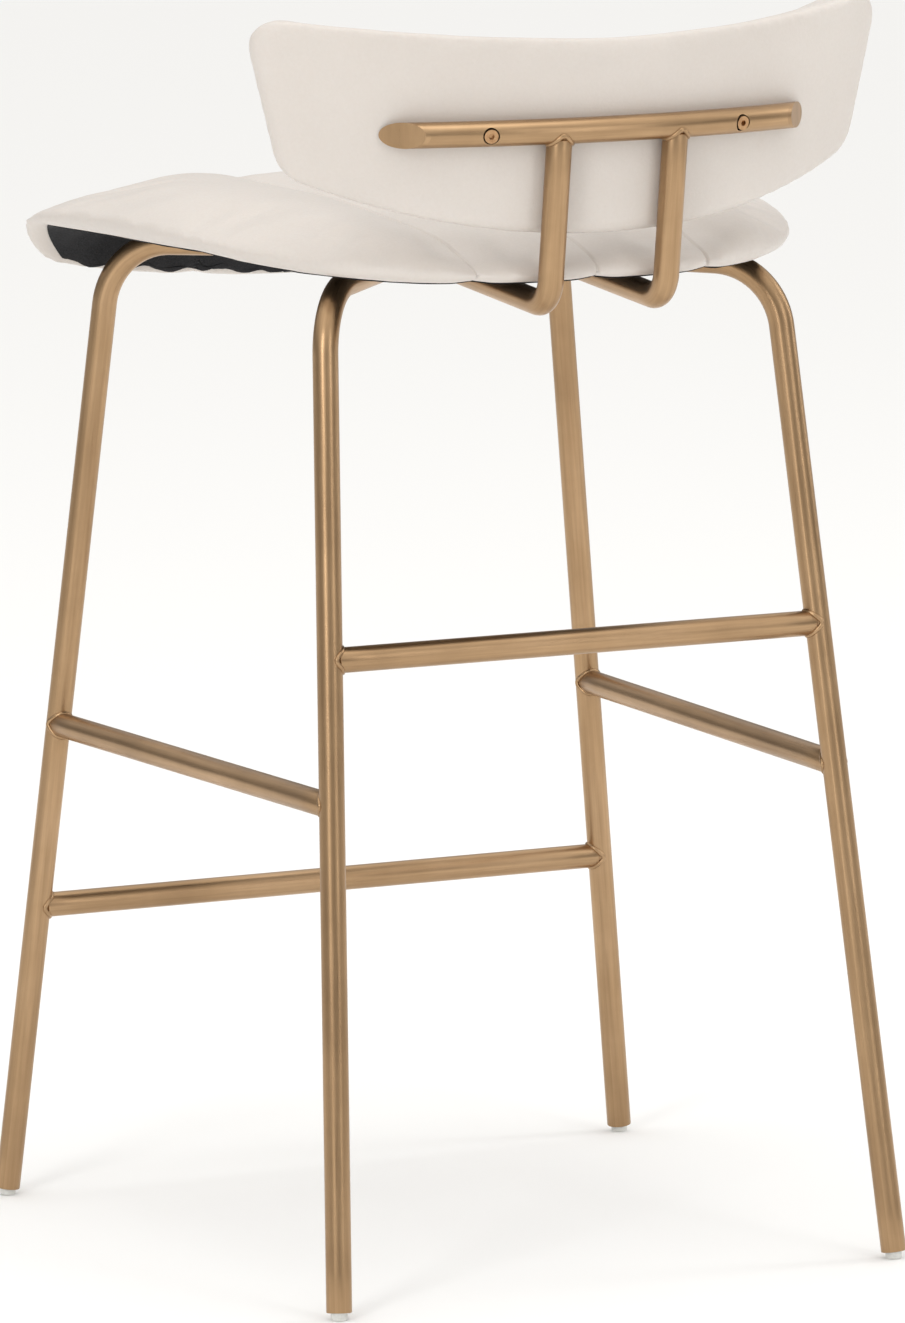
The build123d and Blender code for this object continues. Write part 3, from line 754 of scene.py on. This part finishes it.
def seat_crown(x, y):
    """Top of the cushion: puffed wings, a full middle, and a waterfall at the front."""
    wing = 2.0 * MM * np.clip(np.abs(x) / SEAT_HALF, 0, 1.2) ** 2.5
    wing += WING_PUFF * smooth_step((np.abs(x) - SEAM_REAR) / (60 * MM))
    front = 1 / (1 + np.exp((y - SEAT_FRONT_Y - 90 * MM) / (25 * MM)))
    middle = 8.3 * MM * np.exp(-(x / (110 * MM)) ** 4) * front
    loft = 25.6 * MM + wing + 0.8 * MM * front + middle
    along = np.clip((WATERFALL_START - y) / (WATERFALL_START - SEAT_FRONT_Y), 0, 1)
    waterfall = WATERFALL_DROP * (1 - np.sqrt(1 - 0.98 * along ** 2))
    return seat_base(x, y) + loft - waterfall - CORNER_DROP * front_corner(x, y)


def seat_widest(x, y):
    """Height of the cushion's widest line, which dips along the nose and less at its corners."""
    dip = NOSE_DIP * smooth_step((-120 * MM - y) / (150 * MM)) * (1 - 0.56 * (x / SEAT_HALF) ** 2)
    return seat_base(x, y) + SEAT_EDGE - dip


def seat_underside(x, y):
    """The bent shell's underside, with the inner wall of the front lip and its hem."""
    rear = np.clip((y - 40 * MM) / (200.5 * MM), 0, 1.1) * 16.3 * MM
    along = np.clip((LIP_REAR - y) / (LIP_REAR - LIP_FRONT), 0, 1)
    hem = LIP_LOW + HEM_RISE * (x / SEAT_HALF) ** 2 + 3.0 * MM * front_corner(x, y)
    wall = (UNDER_LEVEL - hem) * (0.35 * along + 0.65 * along ** 2)
    return UNDER_LEVEL - rear - wall


def quarter_round(gap, radius):
    return np.sqrt(np.clip(1 - (1 - np.clip(gap / radius, 0, 1)) ** 2, 0, 1))


def seat_upper(plan, gap):
    x, y = plan[:, 0], plan[:, 1]
    rear = 1 / (1 + np.exp(-(y - 141.4 * MM) / (30 * MM)))
    swell = quarter_round(gap, SIDE_ROUND * (1 - rear) + REAR_ROUND * rear)
    widest = seat_widest(x, y)
    return np.stack([x, y, widest + (seat_crown(x, y) - widest) * swell], 1)


def seat_lower(plan, gap):
    x, y = plan[:, 0], plan[:, 1]
    widest = seat_widest(x, y)
    under = np.minimum(seat_underside(x, y), widest - 1 * MM)
    return np.stack([x, y, widest + (under - widest) * quarter_round(gap, 16 * MM)], 1)


def seam_gap(side):
    """Distance from the upright plane of one of the seat's seams."""
    run = SEAT_REAR_Y - SEAT_FRONT_Y

    def gap(co):
        share = (SEAT_REAR_Y - co[:, 1]) / run
        return co[:, 0] - side * (SEAM_REAR + (SEAM_FRONT - SEAM_REAR) * share)

    return gap


def add_seat(leather):
    middle = np.array([0.0, SEAT_MIDDLE_Y])
    mesh = two_sided_mesh("seat_cushion", seat_outline(), middle, seat_upper, seat_lower)
    piece = link_mesh("seat_cushion", mesh)
    remesh(piece, SEAT_VOXEL)
    co = positions(piece.data)
    facing = normals(piece.data)
    underneath = (facing[:, 2] < -0.2) | (co[:, 2] < seat_underside(co[:, 0], co[:, 1]) + 4 * MM)
    # start a little slack, and let the air fill it again
    top = ~underneath
    co[top] -= facing[top] * SEAT_SLACK
    put(piece.data, co)
    puff(piece, underneath)
    subdivide(piece)
    seams = [seam_gap(-1), seam_gap(0), seam_gap(1)]
    for gap in seams:
        refine(piece, gap, 7 * MM)
    for gap in seams:
        groove(piece, gap, 1.5 * MM, 1.2 * MM, 1.8 * MM, 11 * MM)
    give(piece, leather)
    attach(piece, "root")
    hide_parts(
        "seat_cover_centre_left",
        "seat_cover_centre_right",
        "seat_cover_wing_left",
        "seat_cover_wing_right",
        "seat_foam",
        "seat_board",
    )
    return piece


def add_dust_cloth(cloth, cushion):
    """Black cloth stapled under the shell, inside the leather's edge, with a loose wavy hem on
    the lip's inner wall."""
    under = BVHTree.FromPolygons(
        [vertex.co for vertex in cushion.data.vertices],
        [tuple(polygon.vertices) for polygon in cushion.data.polygons],
    )
    outline = seat_outline(480, inset=CLOTH_INSET, front_square=5.5)
    middle = np.array([0.0, SEAT_MIDDLE_Y])
    shares = 1 - (1 - np.linspace(0, 1, 90)) ** 1.3
    verts = []
    for share in shares:
        for x, y in middle + (outline - middle) * share:
            ragged = 1.2 * MM * (sin(x * 190 + y * 60) + sin(y * 230 - x * 110))
            y = max(y, LIP_FRONT + 2 * MM + ragged * share)
            hit, facing, _, _ = under.ray_cast(Vector((x, y, 0.5)), Vector((0, 0, 1)))
            loose = smooth_step((share - 0.78) / 0.22) * (1.4 * MM if y < LIP_REAR else 0.3 * MM)
            wave = sin(x * 95 + 2.1) * sin(y * 83) + 0.5 * sin(x * 171 + y * 120)
            verts.append(hit + facing * (0.6 * MM + loose * abs(wave)))
    count = len(outline)
    faces = []
    for k in range(len(shares) - 1):
        for j in range(count):
            n = (j + 1) % count
            a, b = k * count, (k + 1) * count
            faces.append((a + j, a + n, b + n, b + j))
    mesh = bpy.data.meshes.new("dust_cloth")
    mesh.from_pydata(verts, [], faces)
    bm = bmesh.new()
    bm.from_mesh(mesh)
    bmesh.ops.remove_doubles(bm, verts=bm.verts, dist=0.05 * MM)
    bmesh.ops.dissolve_degenerate(bm, edges=bm.edges, dist=0.02 * MM)
    bmesh.ops.recalc_face_normals(bm, faces=bm.faces)
    area = sum(face.calc_area() for face in bm.faces)
    bm.to_mesh(mesh)
    bm.free()
    for polygon in mesh.polygons:
        polygon.use_smooth = True
    piece = link_mesh("dust_cloth", mesh)
    give(piece, cloth)
    thick = piece.modifiers.new("thickness", "SOLIDIFY")
    thick.thickness = 0.5 * MM
    thick.offset = 0
    apply_modifiers(piece)
    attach(piece, "root")
    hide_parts("dust_cover")


# ---------------------------------------------------------------- backrest
BACK_TOP = 931.5 * MM
BACK_TOP_R = 1800.0 * MM
BACK_LOW = 781.5 * MM
BACK_LOW_R = 600.0 * MM
BACK_SIDE_LOW = (237.0 * MM, 830.0 * MM)
BACK_SIDE_HIGH = (260.0 * MM, 925.0 * MM)
BACK_HIGH_CORNER = 19.0 * MM
BACK_LOW_CORNER = 32.0 * MM
REAR_EDGE = 11.0 * MM
FRONT_EDGE = 19.0 * MM
BACK_SEAM = 12.0 * MM
BACK_VOXEL = 4 * MM
BACK_SLACK = 1 * MM


def round_corners(points, radii):
    """Closed outline with some corners rounded."""
    outline = []
    count = len(points)
    for k in range(count):
        if radii[k] == 0:
            outline.append(points[k])
            continue
        corner = points[k]
        a = points[k - 1] - corner
        b = points[(k + 1) % count] - corner
        half = a.angle(b) / 2
        reach = min(radii[k] / tan(half), a.length * 0.98, b.length * 0.98)
        radius = reach * tan(half)
        centre = corner + (a.normalized() + b.normalized()).normalized() * (radius / sin(half))
        start = corner + a.normalized() * reach - centre
        end = corner + b.normalized() * reach - centre
        sweep = start.angle(end)
        for share in np.linspace(0, 1, 13):
            blend = start * sin((1 - share) * sweep) + end * sin(share * sweep)
            outline.append(centre + blend / sin(sweep))
    return outline


def back_outline(count=520):
    """Outline of the back seen square on, evenly spaced: x across and z up."""
    rise = (BACK_SIDE_HIGH[0] - BACK_SIDE_LOW[0]) / (BACK_SIDE_HIGH[1] - BACK_SIDE_LOW[1])

    def side_x(z):
        return BACK_SIDE_LOW[0] + rise * (z - BACK_SIDE_LOW[1])

    top = [BACK_SIDE_HIGH[0], BACK_SIDE_HIGH[1]]
    low = list(BACK_SIDE_LOW)
    for _ in range(20):
        top = [side_x(top[1]), BACK_TOP + BACK_TOP_R - sqrt(BACK_TOP_R ** 2 - top[0] ** 2)]
        low = [side_x(low[1]), BACK_LOW + BACK_LOW_R - sqrt(BACK_LOW_R ** 2 - low[0] ** 2)]
    tops = np.linspace(top[0], -top[0], 25)
    lows = np.linspace(-low[0], low[0], 25)
    points = [Vector((x, BACK_TOP + BACK_TOP_R - sqrt(BACK_TOP_R ** 2 - x ** 2))) for x in tops]
    points += [Vector((x, BACK_LOW + BACK_LOW_R - sqrt(BACK_LOW_R ** 2 - x ** 2))) for x in lows]
    # only the four true corners are rounded, so the arcs keep clear of them
    clear = BACK_LOW_CORNER * 1.2
    kept = []
    radii = []
    for point in points:
        away = min(abs(abs(point.x) - x) + abs(point.y - z) for x, z in (top, low))
        is_corner = away < 1e-6
        if not is_corner and away < clear:
            continue
        kept.append(point)
        radii.append((BACK_HIGH_CORNER if point.y > BAR_Z else BACK_LOW_CORNER) if is_corner else 0)
    line = np.array([[p.x, p.y] for p in round_corners(kept, radii)])
    line = np.concatenate([line, line[:1]])
    lengths = np.concatenate([[0], np.cumsum(np.linalg.norm(np.diff(line, axis=0), axis=1))])
    places = np.linspace(0, lengths[-1], count, endpoint=False)
    return np.stack([np.interp(places, lengths, line[:, 0]), np.interp(places, lengths, line[:, 1])], 1)


def on_back(x, z, depth):
    """A point at a depth measured square in from the curved, leaning rear surface."""
    turn = np.arcsin(np.clip(x / BACK_RADIUS, -1, 1))
    radius = BACK_RADIUS - depth
    axis_y = BACK_AXIS_Y + LEAN * (z - BAR_Z)
    return np.stack([radius * np.sin(turn), axis_y + radius * np.cos(turn) / LEAN_COS, z], 1)


def back_depth(co):
    """Depth of points below the rear surface."""
    axis_y = BACK_AXIS_Y + LEAN * (co[:, 2] - BAR_Z)
    return BACK_RADIUS - np.hypot(co[:, 0], (co[:, 1] - axis_y) * LEAN_COS)


def back_rear(plan, gap):
    depth = REAR_EDGE * (1 - quarter_round(gap, REAR_EDGE)) + 0.4 * MM
    return on_back(plan[:, 0], plan[:, 1], depth)


def back_front(plan, gap):
    equator = REAR_EDGE + 0.4 * MM
    depth = equator + (BACK_THICKNESS - equator) * quarter_round(gap, FRONT_EDGE)
    crown = 3.0 * MM * (1 - np.exp(-gap / (40 * MM)))
    return on_back(plan[:, 0], plan[:, 1], depth - 3.0 * MM + crown)


def add_back(leather):
    middle = np.array([0.0, (BACK_TOP + BACK_LOW) / 2])
    mesh = two_sided_mesh("back_cushion", back_outline(), middle, back_rear, back_front, rings=40)
    piece = link_mesh("back_cushion", mesh)
    remesh(piece, BACK_VOXEL)
    co = positions(piece.data)
    facing = normals(piece.data)
    rear = back_depth(co) < REAR_EDGE * 0.5
    co[~rear] -= facing[~rear] * BACK_SLACK
    put(piece.data, co)
    puff(piece, rear)
    subdivide(piece)

    def gap(co):
        depth = back_depth(co)
        return np.where(depth > BACK_THICKNESS * 0.7, 1.0, depth - BACK_SEAM)

    refine(piece, gap, 5 * MM)
    groove(piece, gap, 1.3 * MM, 1.0 * MM, 0.6 * MM, 5 * MM)
    # the rear face never reaches the tubes it lies against
    co = positions(piece.data)
    sunk = np.minimum(back_depth(co) - 0.2 * MM, 0)
    behind_axis = (co[:, 1] - BACK_AXIS_Y - LEAN * (co[:, 2] - BAR_Z)) * LEAN_COS
    out = np.stack([co[:, 0], behind_axis, 0 * co[:, 0]], 1)
    out /= np.linalg.norm(out, axis=1)[:, None]
    put(piece.data, co + out * sunk[:, None])
    give(piece, leather)
    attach(piece, "root")
    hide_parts("back_cover_rear", "back_cover_front", "back_padding", "back_core", "back_foam")
    return piece


# ---------------------------------------------------------------- everything together
add_camera()
add_stage()
bpy.context.scene.view_settings.view_transform = "Standard"
brass = brushed_brass("brushed_brass")
brass_small = brushed_brass("brushed_brass_small", lengthwise=False)
leather = cream_leather()
rails = add_frame(brass)
add_supports(brass)
add_welds(brass_small, rails)
add_bar(brass)
cushion = add_seat(leather)
add_dust_cloth(black_cloth(), cushion)
add_back(leather)

zinc = plated("zinc", (0.50, 0.50, 0.49), (0.62, 0.62, 0.60), 0.36)
bronze = plated("bronze", (0.36, 0.20, 0.10), (0.52, 0.32, 0.17), 0.30)
white = nylon()
finishes = {
    "bar_end_caps": brass_small,
    "mount_plate": zinc,
    "foot_plugs": zinc,
    "bar_spacers": zinc,
    "back_t_nuts": zinc,
    "seat_t_nuts": zinc,
    "seat_bolts": zinc,
    "back_bolts": bronze,
}
for node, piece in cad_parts.items():
    if node in finishes:
        give(piece, finishes[node])
    elif node.startswith("glide_"):
        give(piece, white)
